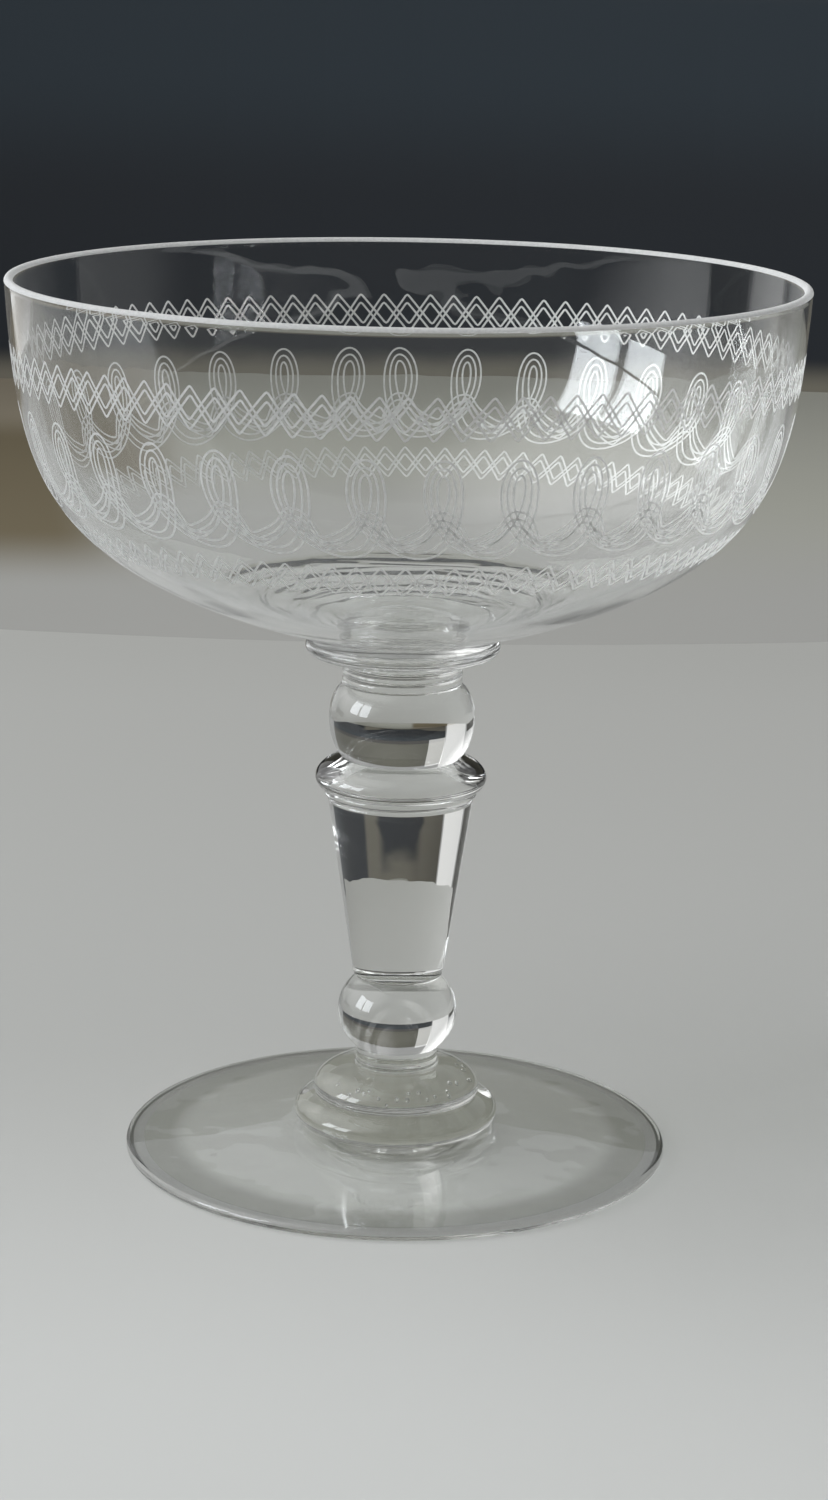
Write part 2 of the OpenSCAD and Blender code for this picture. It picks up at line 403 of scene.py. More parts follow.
def frosted_glass(name, colour, clear_share, grain):
    """Matt glass: part scatters back, part glows through, part stays clear."""
    material, tree, out = new_material(name)
    coords = add_node(tree, "ShaderNodeTexCoord", (-1100, 0))
    pits = add_node(tree, "ShaderNodeTexNoise", (-850, 0),
                    Scale=1 / grain, Detail=3.0, Roughness=0.7)
    tone = add_node(tree, "ShaderNodeValToRGB", (-600, 0))
    low, high = tone.color_ramp.elements
    low.position, low.color = 0.3, (*(deepest_pit * c for c in colour), 1)
    high.position, high.color = 0.7, (*colour, 1)
    back = add_node(tree, "ShaderNodeBsdfDiffuse", (-200, 120))
    through = add_node(tree, "ShaderNodeBsdfTranslucent", (-200, -60))
    clear = add_node(tree, "ShaderNodeBsdfTransparent", (100, -160))
    scatter = add_node(tree, "ShaderNodeMixShader", (100, 60), Fac=0.5)
    whole = add_node(tree, "ShaderNodeMixShader", (400, 0), Fac=clear_share)
    wire(tree, coords.outputs["Object"], pits.inputs["Vector"], pits.outputs["Fac"],
         tone.inputs["Fac"], tone.outputs["Color"], back.inputs["Color"],
         tone.outputs["Color"], through.inputs["Color"], back.outputs["BSDF"],
         scatter.inputs[1], through.outputs["BSDF"], scatter.inputs[2])
    wire(tree, scatter.outputs["Shader"], whole.inputs[1], clear.outputs["BSDF"],
         whole.inputs[2], whole.outputs["Shader"], out.inputs["Surface"])
    return material


etched_line = frosted_glass("etched_line", (0.86, 0.86, 0.85), 0.30, 0.5 * mm)
ground_rim = frosted_glass("ground_rim", (0.94, 0.94, 0.93), 0.15, 0.4 * mm)
ground_rest = frosted_glass("ground_rest", (0.60, 0.60, 0.59), 0.88, 0.6 * mm)
pontil_mark = frosted_glass("pontil_mark", (0.44, 0.44, 0.385), 0.2, 1.6 * mm)
print("frosted:", etched_line.name, ground_rim.name, ground_rest.name, pontil_mark.name)

# %% [markdown]
# ## Outlines of hot-worked glass
#
# A knop pressed from hot glass bulges like part of a circle, fullest at one height. We
# could model each by hand with a lathe curve, but a formula gives every knop the same
# family look. The helpers draw a curve, a round corner and such a bead, from a low radius
# to its widest and in again.

# %% Outline helpers
steps = 56                              # points along each side of a bead


def bezier(a, b, c, d, count=steps):
    """Points on a cubic curve through a and d, pulled towards b and c."""
    points = []
    for i in range(count + 1):
        t = i / count
        w = ((1 - t) ** 3, 3 * (1 - t) ** 2 * t, 3 * (1 - t) * t * t, t ** 3)
        points.append(tuple(sum(k * p[j] for k, p in zip(w, (a, b, c, d))) for j in (0, 1)))
    return points


def side_up(low_r, wide_r, h, turn, count=steps):
    """The lower side of a bead, from its foot to its widest ring."""
    points = []
    for i in range(count + 1):
        a = turn * (1 - i / count)
        points.append((wide_r - (wide_r - low_r) * (1 - math.cos(a)) / (1 - math.cos(turn)),
                       h * (1 - math.sin(a) / math.sin(turn))))
    return points


def bead(low_r, wide_r, top_r, h, wide_share, turn_degrees, count=steps):
    """A whole bead: out to its widest ring and in again to its top."""
    turn = math.radians(turn_degrees)
    low = side_up(low_r, wide_r, h * wide_share, turn, count)
    top = [(r, h - z) for r, z in side_up(top_r, wide_r, h * (1 - wide_share), turn, count)]
    return low + top[::-1][1:]


def raised(points, z):
    """The same points, lifted by z."""
    return [(r, height + z) for r, height in points]


def arc(centre, radius, start_degrees, end_degrees, count=16):
    """Points on a round corner."""
    turn = end_degrees - start_degrees
    angles = [math.radians(start_degrees + turn * i / count) for i in range(count + 1)]
    return [(centre[0] + radius * math.cos(a), centre[1] + radius * math.sin(a))
            for a in angles]


print("points on a whole bead:", len(bead(1, 2, 1, 1, 0.5, 60)))

# %% [markdown]
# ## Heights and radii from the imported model
#
# The finer pieces must sit exactly where the solids sit. Copying the numbers by hand would
# do until somebody changes a solid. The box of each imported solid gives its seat, its top and
# its widest radius, so we read them from there.

# %% Read the solids
seat_z = {name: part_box(name)[0].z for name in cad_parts}
top_z = {name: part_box(name)[1].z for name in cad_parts}
wide_r = {name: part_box(name)[1].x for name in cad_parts}
for name in sorted(seat_z, key=seat_z.get):
    print(f"{name}: {seat_z[name] / mm:.2f} to {top_z[name] / mm:.2f} mm,",
          f"radius {wide_r[name] / mm:.2f} mm")


def height_of(name):
    """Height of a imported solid."""
    return top_z[name] - seat_z[name]


# %% [markdown]
# ## A gather of glass
#
# A closed piece has a flat seat below and one above. `gather` adds the two seats to an
# outline and gives the part of each that touches its neighbour the see-through finish. A
# narrow ring of seat that stays in the open air keeps the glass.

# %% Turn a gather
hair = 0.01 * mm                        # a radius may be off by this much
touch = 1e-6                            # heights closer than this are the same
dead_level = 1e-9                       # and a face flatter than this is a seat


def gather(name, side, glass, low_contact, top_contact):
    """Turns one gather of glass: side is its outline above its seat."""
    side = raised(side, seat_z[name])
    low, top = side[0], side[-1]
    outline = [(0, low[1])]
    if low_contact < low[0] - hair:
        outline.append((low_contact, low[1]))
    outline += side
    if top_contact < top[0] - hair:
        outline.append((top_contact, top[1]))
    outline.append((0, top[1]))

    def finish_of(a, b):
        if abs(a[1] - b[1]) >= dead_level:
            return 0
        outer = max(a[0], b[0])
        at_low = abs(a[1] - low[1]) < touch and outer <= low_contact + hair
        at_top = abs(a[1] - top[1]) < touch and outer <= top_contact + hair
        return 1 if at_low or at_top else 0

    mesh = turned(name + "_glass", outline, finish_of)
    return new_piece(name + "_glass", mesh, [glass, fused_seat], name)


print("a radius may be off by, mm:", hair / mm)

# %% [markdown]
# ## The foot
#
# The foot is a low disc that flares up to the boss. Its underside is slightly hollow, so
# that it stands on a narrow ring and doesn't rock, and that ring is matt from use. In the
# middle underneath is the rough disc where the iron was broken off, which we frost. A flat
# disc would be simpler, but the hollow and the flare act as a weak lens and shade the foot.

# %% Foot
foot_edge, rest_w, hollow = 1.3 * mm, 1.8 * mm, 2.0 * mm
boss_foot_r = 12.7 * mm
# The last two bound the part of the underside that takes the glass with the ring of painted
# shade.
pontil_r, painted_shade_from, painted_shade_below = 11 * mm, 21 * mm, 1.0 * mm
foot_r, foot_top = wide_r["foot"], top_z["foot"]
edge_r = foot_r - foot_edge / 2
inside_r = edge_r - rest_w
clear_edge = 0.4 * mm                   # the outermost part of the rest that stays clear
flare_r, flare_h = boss_foot_r - edge_r, foot_top - foot_edge
flare = bezier((edge_r, foot_edge), (edge_r + flare_r * 0.33, foot_edge + flare_h * 0.25),
               (edge_r + flare_r * 0.72, foot_edge + flare_h * 0.62),
               (boss_foot_r, foot_top), 90)
under = bezier((0, hollow), (inside_r * 0.395, hollow), (inside_r * 0.608, hollow * 0.26),
               (inside_r, 0), 90)
foot_outline = (under + [(edge_r - clear_edge, 0)]
                + arc((edge_r, foot_edge / 2), foot_edge / 2, -90, 90, 24)
                + flare[1:] + [(0, foot_top)])


def foot_finish(a, b):
    """0 clear, 1 seat, 2 rest ring, 3 pontil mark, 4 underside with the ring of painted shade.
    """
    inner, outer = min(a[0], b[0]), max(a[0], b[0])
    lowest, highest = min(a[1], b[1]), max(a[1], b[1])
    if lowest > foot_top - touch:
        return 1
    if outer < pontil_r and highest < hollow + touch:
        return 3
    if highest < touch:
        return 2 if inner < edge_r - clear_edge - hair else 0
    painted_shade = inner > painted_shade_from and outer < inside_r + touch and highest < painted_shade_below
    return 4 if painted_shade else 0


new_piece("foot_glass", turned("foot_glass", foot_outline, foot_finish),
          [foot_glass, fused_seat, ground_rest, pontil_mark, painted_shade_glass], "foot")

# %% [markdown]
# ## The boss
#
# Two low tiers join the foot to the stem: a flattened ring below and a dome above. Each is
# a bead that is widest low down. They were pressed on hot, one after the other, and the
# crease between them stays open to the eye, so they are two gathers and not one.

# %% Boss
boss_crease_r, lower_neck_r = 10.55 * mm, 5.5 * mm
base_side = bead(boss_foot_r, wide_r["boss_base"], boss_crease_r, height_of("boss_base"),
                 0.36, 68)
gather("boss_base", base_side, stem_glass, boss_foot_r, boss_crease_r)
cap_side = bead(boss_crease_r, wide_r["boss_cap"], lower_neck_r, height_of("boss_cap"), 0.2, 86)
boss_cap = gather("boss_cap", cap_side, stem_glass, boss_crease_r, lower_neck_r)

# %% [markdown]
# ## Seeds
#
# The dome holds a ring of seeds, tiny bubbles that were trapped when it was dropped on the
# ring below. They could be specks in the material, but a bubble shows by the way its skin
# bends light. So each one is a small ball with its skin turned inside out, in the same mesh
# as the dome: a hole in the glass.

# %% Seeds in the boss
seed_count = 34
seeds_start, seeds_turn, seeds_wander = -150, 240, 0.12
seed_r, seed_r_spread = 7.6, 1.6        # distance from the axis, in mm
seed_z, seed_z_spread = 0.7, 1.3        # height over the dome's seat, in mm
seed_size, seed_size_spread = 0.15, 0.15


def add_bubbles(piece, spots):
    """Cuts ball-shaped holes into a piece: spots are (angle, radius, height, size)."""
    bm = bmesh.new()
    bm.from_mesh(piece.data)
    for angle, r, z, size in spots:
        at = Matrix.Translation((r * math.cos(angle), r * math.sin(angle), z))
        ball = bmesh.ops.create_icosphere(bm, subdivisions=3, radius=size, matrix=at)
        faces = {f for v in ball["verts"] for f in v.link_faces}
        for face in faces:
            face.smooth = True
        bmesh.ops.reverse_faces(bm, faces=list(faces))
    bm.to_mesh(piece.data)
    bm.free()
    print(f"bubbles in {piece.name}: {len(spots)}")


def scattered(seed):
    """A number between 0 and 1 that is the same on every run."""
    return 0.5 + 0.5 * math.sin(seed * 127.1 + 3.7) * math.cos(seed * 311.7)


seeds = []
for k in range(seed_count):
    angle = math.radians(seeds_start + seeds_turn * k / seed_count) + seeds_wander * scattered(k)
    r = (seed_r + seed_r_spread * scattered(k + 50)) * mm
    height = seat_z["boss_cap"] + (seed_z + seed_z_spread * scattered(k + 90)) * mm
    size = (seed_size + seed_size_spread * scattered(k + 140)) * mm
    seeds.append((angle, r, height, size))
add_bubbles(boss_cap, seeds)

# %% [markdown]
# ## The lower stem
#
# Above the boss come a short waist and a pear-shaped knop. The waist is a shallow hollow
# where the glass was drawn thin, so its outline is a parabola. The knop is a bead again. It
# works as a lens that turns the room upside down, and this gives it the dark band in its
# lower half, so its curve matters more than its material.

# %% Waist and lower knop
neck_waist, pear_top_r = 0.2 * mm, 5.35 * mm
neck_side = []
for i in range(steps + 1):
    t = 2 * i / steps - 1
    neck_side.append((lower_neck_r - neck_waist + neck_waist * t * t,
                      height_of("lower_neck") * i / steps))
gather("lower_neck", neck_side, stem_glass, lower_neck_r, lower_neck_r)
pear_side = bead(lower_neck_r, wide_r["lower_knop"], pear_top_r, height_of("lower_knop"),
                 0.5, 42)
gather("lower_knop", pear_side, stem_glass, lower_neck_r, pear_top_r)

# %% [markdown]
# ## The tapered shank
#
# The longest gather is a round cone with its narrow end down. A plain cone would do but for
# its two ends, which were melted round. They catch a thin bright line each, so the outline
# gets a small arc at both ends, and the straight side extra points near them, which keep
# the shading of the straight part straight.

# %% Tapered shank
shank_round, narrow_r, head_r = 0.5 * mm, 5.85 * mm, wide_r["tapered_shank"]
shank_h = height_of("tapered_shank")
shank_low = arc((narrow_r - shank_round, shank_round), shank_round, -90, 0)
shank_high = arc((head_r - shank_round, shank_h - shank_round), shank_round, 0, 90)
along = [0.002, 0.008, 0.03] + [k / 24 for k in range(2, 23)] + [0.97, 0.992, 0.998]
shank_side = shank_low + [(narrow_r + (head_r - narrow_r) * t,
                           shank_round + (shank_h - 2 * shank_round) * t)
                          for t in along] + shank_high
gather("tapered_shank", shank_side, stem_glass, narrow_r - shank_round, head_r - shank_round)

# %% [markdown]
# ## Ring collar, knop and neck
#
# On the shank sits a collar in the shape of a flattened ring with a narrow lip under it,
# then a rounded knop, then a neck of three fine rings. All are beads of different height
# stacked on one another. The grooves between them are only a little narrower than the rings,
# as the tool that pressed them was blunt.

# %% Upper stem
lip_low_r, lip_r, lip_h = 9.3 * mm, 9.8 * mm, 1.0 * mm
knop_foot_r, groove = 7.5 * mm, 0.15 * mm
upper_neck_r = wide_r["upper_neck"]
ring_side = (bead(lip_low_r, lip_r, lip_r - groove, lip_h, 0.5, 66, 20)
             + raised(bead(lip_r, wide_r["ring_collar"], knop_foot_r,
                           height_of("ring_collar") - lip_h, 0.36, 66), lip_h))
gather("ring_collar", ring_side, stem_glass, head_r - shank_round, knop_foot_r)
knop_side = bead(knop_foot_r, wide_r["upper_knop"], upper_neck_r - groove,
                 height_of("upper_knop"), 0.54, 68)
gather("upper_knop", knop_side, stem_glass, knop_foot_r, upper_neck_r - groove)
ring_count = 3
one_ring = height_of("upper_neck") / ring_count
fine_ring = bead(upper_neck_r - groove, upper_neck_r, upper_neck_r - groove, one_ring,
                 0.5, 66, 14)
rings_side = fine_ring[:1]
for k in range(ring_count):
    rings_side += raised(fine_ring, k * one_ring)[1:]
gather("upper_neck", rings_side, stem_glass, upper_neck_r - groove, upper_neck_r - groove)

# %% [markdown]
# ## The bowl's collar
#
# The bowl sits on a thin disc that was squeezed out when the two met. It could be part of
# the bowl's outline, but its crease runs all round, so it is a gather of its own: a flat
# bead on a short foot. The bowl covers its upper seat but for a narrow ring.

# %% Bowl collar
seat_r = 11.6 * mm
collar_r, collar_h = wide_r["bowl_collar"], height_of("bowl_collar")
collar_low = collar_h * 0.32
collar_side = [(upper_neck_r, 0)] + raised(
    bead(collar_r * 0.9, collar_r, collar_r * 0.96, collar_h - collar_low, 0.62, 66, 30),
    collar_low)
gather("bowl_collar", collar_side, stem_glass, upper_neck_r - groove, seat_r)

# %% [markdown]
# ## The bowl
#
# The bowl is blown, so its wall is thin and nearly even: about 1.1 mm, and 1.7 mm in the
# floor. A Solidify modifier could thicken a single skin. We offset the outline itself,
# which lets the wall grow towards the floor and gives the lip its half-round, ground edge.
# Two bubbles were caught in the floor, one much bigger than the other.

# %% Bowl
rim_r, bowl_z, bowl_h = wide_r["bowl"], seat_z["bowl"], height_of("bowl")
rim_wall, base_wall, floor_t, bowl_step = 1.1 * mm, 1.2 * mm, 1.7 * mm, 0.8 * mm
lip = rim_wall / 2
wall_steps = 120
outer_side = bezier((seat_r, bowl_step), (rim_r * 0.92, bowl_h * 0.232),
                    (rim_r * 0.966, bowl_h * 0.439), (rim_r, bowl_h - lip), wall_steps)
ways = [way(outer_side[max(i - 1, 0)], outer_side[i + 1]).normalized()
        for i in range(wall_steps)]
inner_side = []
for i, ((r, z), along) in enumerate(zip(outer_side, ways)):
    thick = rim_wall + (base_wall - rim_wall) * (1 - i / wall_steps) ** 3
    inner_side.append((r - thick * along[1], z + thick * along[0]))
inner_r, inner_z = inner_side[0]
bowl_floor = bezier((inner_r, inner_z),
                    (inner_r * (1 - 0.1 * ways[0][0]), inner_z - inner_r * 0.1 * ways[0][1]),
                    (inner_r * 0.55, floor_t), (0, floor_t), 60)
bowl_outline = raised([(0, 0), (seat_r, 0)] + outer_side
                      + arc((rim_r - lip, bowl_h - lip), lip, 0, 180, 28)[1:]
                      + inner_side[::-1] + bowl_floor[1:], bowl_z)
ground_from = top_z["bowl"] - lip - 0.05 * mm


def bowl_finish(a, b):
    """0 clear, 1 seat, 2 ground rim."""
    if max(a[1], b[1]) < bowl_z + touch:
        return 1
    return 2 if min(a[1], b[1]) > ground_from else 0


bowl = new_piece("bowl_glass", turned("bowl_glass", bowl_outline, bowl_finish),
                 [bowl_glass, fused_seat, ground_rim], "bowl")
add_bubbles(bowl, [(math.pi, 2.0 * mm, bowl_z + 0.86 * mm, 0.62 * mm),
                   (math.radians(147), 2.4 * mm, bowl_z + 1.2 * mm, 0.25 * mm)])

# %% [markdown]
# ## Measuring along the skin
#
# The etched bands were scratched through wax by a machine that turned the glass under a
# set of needles, then bitten with acid. The machine knew two measures: the angle round the
# axis, and the distance down the skin from the lip. An image wrapped round the bowl would
# need the same two measures, but would blur in a close view. `skin` turns the distance into
# a radius, a height and the direction that the skin faces.

# %% Skin of the bowl
skin_points = raised(outer_side, bowl_z)[::-1]
skin_run = [0.0]
for (r0, z0), (r1, z1) in zip(skin_points, skin_points[1:]):
    skin_run.append(skin_run[-1] + math.hypot(r1 - r0, z1 - z0))


def skin(down):
    """Radius, height and outward slope of the bowl's outside, this far down from the lip."""
    low, high = 0, len(skin_run) - 1
    while high - low > 1:
        mid = (low + high) // 2
        low, high = (mid, high) if skin_run[mid] <= down else (low, mid)
    share = (down - skin_run[low]) / (skin_run[high] - skin_run[low])
    (r0, z0), (r1, z1) = skin_points[low], skin_points[high]
    length = math.hypot(r1 - r0, z1 - z0)
    return (r0 + (r1 - r0) * share, z0 + (z1 - z0) * share,
            (z0 - z1) / length, (r1 - r0) / length)


print("skin from lip to seat, mm:", round(skin_run[-1] / mm, 1))

# %% [markdown]
# ## Etched lines as real bars
#
# An etched line is a matt groove a quarter of a millimetre wide. Grooves cut into this mesh
# would need millions of faces. Each line is instead a flat little bar on the skin, a
# fiftieth of a millimetre high, so it shows from the outside and through the glass. The
# bar's cross-section is carried along the line and turned with the skin.

# %% Draw a set of etched lines
line_top, line_foot = 0.025 * mm, 0.004 * mm     # heights over the skin


def bar_corners(points, width):
    """Four corners of the bar at each point of a closed line."""
    place, out = [], []
    for angle, down in points:
        r, z, n_r, n_z = skin(down)
        place.append(Vector((r * math.cos(angle), r * math.sin(angle), z)))
        out.append(Vector((n_r * math.cos(angle), n_r * math.sin(angle), n_z)))
    corners, count = [], len(place)
    for i in range(count):
        along = (place[(i + 1) % count] - place[i - 1]).normalized()
        across = out[i].cross(along).normalized() * (width / 2)
        for side, lift in ((-1, line_top), (1, line_top), (1, line_foot), (-1, line_foot)):
            corners.append(place[i] + across * side + out[i] * lift)
    return corners


def etch(name, lines, width):
    """One piece of many closed lines, each a list of (angle, distance down the skin)."""
    verts, faces = [], []
    for points in lines:
        first, count = len(verts), len(points)
        verts += bar_corners(points, width)
        for i in range(count):
            a, b = first + 4 * i, first + 4 * ((i + 1) % count)
            faces += [(a + k, a + (k + 1) % 4, b + (k + 1) % 4, b + k) for k in range(4)]
    mesh = bpy.data.meshes.new(name)
    mesh.from_pydata([tuple(v) for v in verts], [], faces)
    bm = bmesh.new()
    bm.from_mesh(mesh)
    bmesh.ops.recalc_face_normals(bm, faces=bm.faces)
    bm.to_mesh(mesh)
    bm.free()
    return new_piece(name, mesh, [etched_line])


print("top and foot of a line over the skin, mm:", line_top / mm, line_foot / mm)

# %% [markdown]
# ## The two lattice bands
#
# A needle that swings up and down while the bowl turns draws a zigzag. Two needles side by
# side draw a double one, and a second pass, half a swing later, crosses the first and makes
# the chain of diamonds. One diamond copied 96 times would be easier, but each line of the
# real band runs on unbroken round the bowl, with a slight lean that comes from the crank.

# %% Lattice bands
diamonds, points_per_swing = 96, 30
band_turn = 2 * math.pi / diamonds
first_peak = math.radians(-89.75)
lattice_w, lattice_gap, lattice_h = 0.27 * mm, 1.08 * mm, 5.25 * mm
lattice_lean, tip_round = 0.11, 0.07    # as shares of a diamond and of a swing
hand_wander = 0.03 * mm


def swing(t):
    """Height share of a zigzag over one swing, 1 at its tip and 0 at its foot, both round."""
    x = abs(2 * (t % 1.0) - 1)
    if x > 1 - tip_round:
        return 1 - tip_round / 2 - (1 - x) ** 2 / (2 * tip_round)
    if x < tip_round:
        return tip_round / 2 + x * x / (2 * tip_round)
    return x


def lattice(name, top_down):
    """A band of crossing double zigzags whose upper tips lie top_down below the lip."""
    lines = []
    for turn_over, needle in ((0, 0), (0, 1), (1, 0), (1, 1)):
        points = []
        for i in range(diamonds // 2 * points_per_swing):
            u = i / points_per_swing
            drop = 1 - swing(u)
            angle = first_peak + (2 * u + turn_over - lattice_lean * drop) * band_turn
            wander = hand_wander * math.sin(7 * angle + 2 * needle)
            points.append((angle, top_down + needle * lattice_gap
                           + (lattice_h - lattice_gap) * drop + wander))
        lines.append(points)
    return etch(name, lines, lattice_w)


lattice("etched_upper_lattice", 7.2 * mm)
lattice("etched_lower_lattice", 28.95 * mm)

# %% [markdown]
# ## The band of loops
#
# Between the lattices the needles sat on a turning disc while the bowl crept past them.
# Such a path, a trochoid, makes a loop at each turn and a wave between. Three needles at
# three distances from the disc's centre draw three loops inside one another, and a smaller
# set draws the domes that knot them together. Hand-drawn curves could copy what is seen in
# front, but the formula also tells how the band goes on behind. The machine closed the band
# early, so two loops at the back stand closer than the rest.

# %% Loop band
loop_count, points_per_loop = 33, 56
seam_middle, seam_gap = math.radians(95.3), math.radians(8.0)
creep_share = 0.04                      # how much the pitch grows from front to back
loop_w, measure_r = 0.25 * mm, 47.5 * mm
# reach sideways, reach up and down, middle below the lip, lean of the wave, all in mm
loop_needles = [(4.14, 6.39, 21.00, 2.08), (3.33, 5.49, 21.00, 1.67), (2.46, 4.51, 20.93, 0.56)]
dome_needles = [(-0.39, 1.83, 22.76, -0.86), (-0.28, 1.78, 23.70, -0.69),
                (-0.17, 1.78, 24.62, -0.56)]


def loop_angle(u):
    """Angle of loop u round the bowl. The pitch is a little smaller in front."""
    pitch_u = (2 * math.pi - seam_gap) / (loop_count - 1)
    even = seam_middle + seam_gap / 2 + pitch_u * u
    return even - creep_share * math.sin(even + math.pi / 2)


def loops(name, needles, lean_power, left_pull):
    """One closed line for each needle, through all the loops round the bowl."""
    last = loop_count - 1
    start, end = loop_angle(last), loop_angle(0) + 2 * math.pi
    lines = []
    for reach_x, reach_y, middle, lean in needles:
        points = []
        for i in range(loop_count * points_per_loop):
            u = i / points_per_loop
            turn = 2 * math.pi * u
            base = loop_angle(u) if u <= last else start + (end - start) * (u - last)
            fall = (1 - math.cos(turn)) / 2
            pull = left_pull * math.sin(turn) ** 2 * (1 - math.sin(turn)) / 2
            side = (-reach_x * math.sin(turn) + lean * fall ** lean_power + pull) * mm
            points.append((base + side / measure_r, (middle - reach_y * math.cos(turn)) * mm))
        lines.append(points)
    return etch(name, lines, loop_w)


loops("etched_loops", loop_needles, 3, 0.0)
loops("etched_domes", dome_needles, 2, 0.83)

# %% [markdown]
# ## Colours of the stage
#
# Clear glass shows what is behind it, so the stage is part of its look. Its plates change
# tone smoothly from one place to the next. A picture could do that, but it would be bound
# to one view. These helpers read the place itself and step from colour to colour.

# %% Stage helpers


def place_of(tree):
    """Y and Z of the place, and X over Y, which tells the direction from the glass."""
    coords = add_node(tree, "ShaderNodeTexCoord", (-1500, 0))
    split = add_node(tree, "ShaderNodeSeparateXYZ", (-1300, 0))
    slope = add_node(tree, "ShaderNodeMath", (-1100, -200), operation="DIVIDE")
    wire(tree, coords.outputs["Object"], split.inputs["Vector"], split.outputs["X"],
         slope.inputs[0], split.outputs["Y"], slope.inputs[1])
    return split.outputs["Y"], split.outputs["Z"], slope.outputs["Value"]


def stepped(tree, value, colour, changes, row):
    """A colour that turns to the next at each change: (start, end, next colour)."""
    for i, (start, end, next_colour) in enumerate(changes):
        share = zone(tree, value, start, end, (300 * i - 900, row))
        colour = blended(tree, share, colour, next_colour, (300 * i - 750, row))
    return colour


def dull(tree, out, colour, roughness, gloss):
    """Ends a finish in a surface with this colour and little shine."""
    shader = add_node(tree, "ShaderNodeBsdfPrincipled", (300, 0), Roughness=roughness,
                      Specular_IOR_Level=gloss)
    wire(tree, colour, shader.inputs["Base Color"], shader.outputs["BSDF"],
         out.inputs["Surface"])


def stage_piece(name, bm, finish):
    """An object of the stage."""
    mesh = as_mesh(name, bm)
    mesh.materials.append(finish)
    piece = bpy.data.objects.new(name, mesh)
    bpy.context.collection.objects.link(piece)
    return piece


def plate(name, outline, height, finish):
    """A flat plate with this outline, seen from above, at this height."""
    bm = bmesh.new()
    bm.faces.new([bm.verts.new((x, y, height)) for x, y in outline])
    return stage_piece(name, bm, finish)


# %% [markdown]
# ## The floor
#
# The glass stands on a plain pale floor that grows a little darker with distance. Lamps
# could shade it, but they would shade the glass too, so the colour does it. The floor is
# nearly matt, as a shiny one would mirror the lamps and turn white when seen from the side.

# %% Floor
floor_back, floor_front, half_w = 0.309, 0.145, 0.75
edge_bend, edge_round, edge_steps = 0.33, 0.15, 120
floor_finish, tree, out = new_material("pale_floor")
y, _, _ = place_of(tree)
pale = stepped(tree, y, (0.565, 0.57, 0.55), [
    (-0.10, 0.05, (0.415, 0.417, 0.398)), (0.05, 0.27, (0.403, 0.403, 0.382)),
    (0.24, 0.31, (0.388, 0.388, 0.366))], 100)
dull(tree, out, pale, 0.62, 0.2)
floor_outline = [(-half_w, -floor_front), (half_w, -floor_front)]
for k in range(edge_steps + 1):
    x = half_w - 2 * half_w * k / edge_steps
    floor_outline.append(
        (x, floor_back + edge_bend * (math.hypot(x, edge_round) - edge_round)))
floor = plate("floor", floor_outline, 0, floor_finish)
print("floor from front to back, m:", floor_front + floor_back)

# %% [markdown]
# ## The ground further off
#
# Through the lower half of the bowl the eye meets a darker ground well behind the floor,
# browner on the left. One big floor could do, but its far edge would then stand too high in
# the view. A second plate lies lower, so that the foot of the screen comes out at the right
# height behind the bowl. It is round, with the same radius as the screen.

# %% Far ground
ground_z, far_r, overlap = -0.30, 2.85, 0.01
ground_finish, tree, out = new_material("far_ground")
y, _, side = place_of(tree)
grey = stepped(tree, y, (0.285, 0.285, 0.272), [(1.80, 2.25, (0.29, 0.292, 0.258))], 300)
brown = stepped(tree, y, grey, [
    (1.84, 2.06, (0.128, 0.108, 0.070)), (2.46, 2.62, (0.21, 0.185, 0.14))], 0)
dull(tree, out, stepped(tree, side, grey, [(-0.075, -0.125, brown)], -300), 0.9, 0.1)
far_outline = [((far_r + overlap) * math.sin(a), (far_r + overlap) * math.cos(a))
               for a in (-2 * math.pi * k / 180 for k in range(180))]
ground = plate("far_ground", far_outline, ground_z, ground_finish)
print("ground below the floor, m:", -ground_z)

# %% [markdown]
# ## The dark screen
#
# White lines need a dark ground, and the stem needs dark lines to show its shape. A plain
# dark screen stands behind the glass as part of a drum round it. A flat one would be simpler,
# but seen in the knops its ends would come out at different distances. The screen is navy,
# grows olive at its foot and paler at its top. A narrow second screen on the left gives the
# knops one more dark line.

# %% Dark screen
screen_finish, tree, out = new_material("dark_screen")
_, z, side = place_of(tree)
olive = (0.18, 0.17, 0.14)
navy = stepped(tree, z, (0.027, 0.031, 0.037), [
    (-0.135, -0.01, (0.034, 0.044, 0.054)), (0.05, 0.10, (0.085, 0.08, 0.074))], 200)
off_side = add_node(tree, "ShaderNodeMath", (-1100, -400), operation="ABSOLUTE")
sag = ranged(tree, off_side.outputs["Value"], 0.15, 1.15, (-900, -500), high=-0.35)
lifted = add_node(tree, "ShaderNodeMath", (-700, -500), operation="ADD")
wire(tree, side, off_side.inputs[0], z, lifted.inputs[0], sag, lifted.inputs[1])
wide = stepped(tree, lifted.outputs["Value"], olive, [(-0.268, -0.256, navy)], -300)
wide = stepped(tree, side, wide, [(0.36, 0.42, navy)], -450)
centre = stepped(tree, z, olive, [(-0.298, -0.268, navy)], -600)
middle = stepped(tree, off_side.outputs["Value"], centre, [(0.135, 0.25, wide)], -750)
dull(tree, out, stepped(tree, z, middle, [(0.16, 0.20, (0.16, 0.157, 0.13))], 0), 0.9, 0.1)


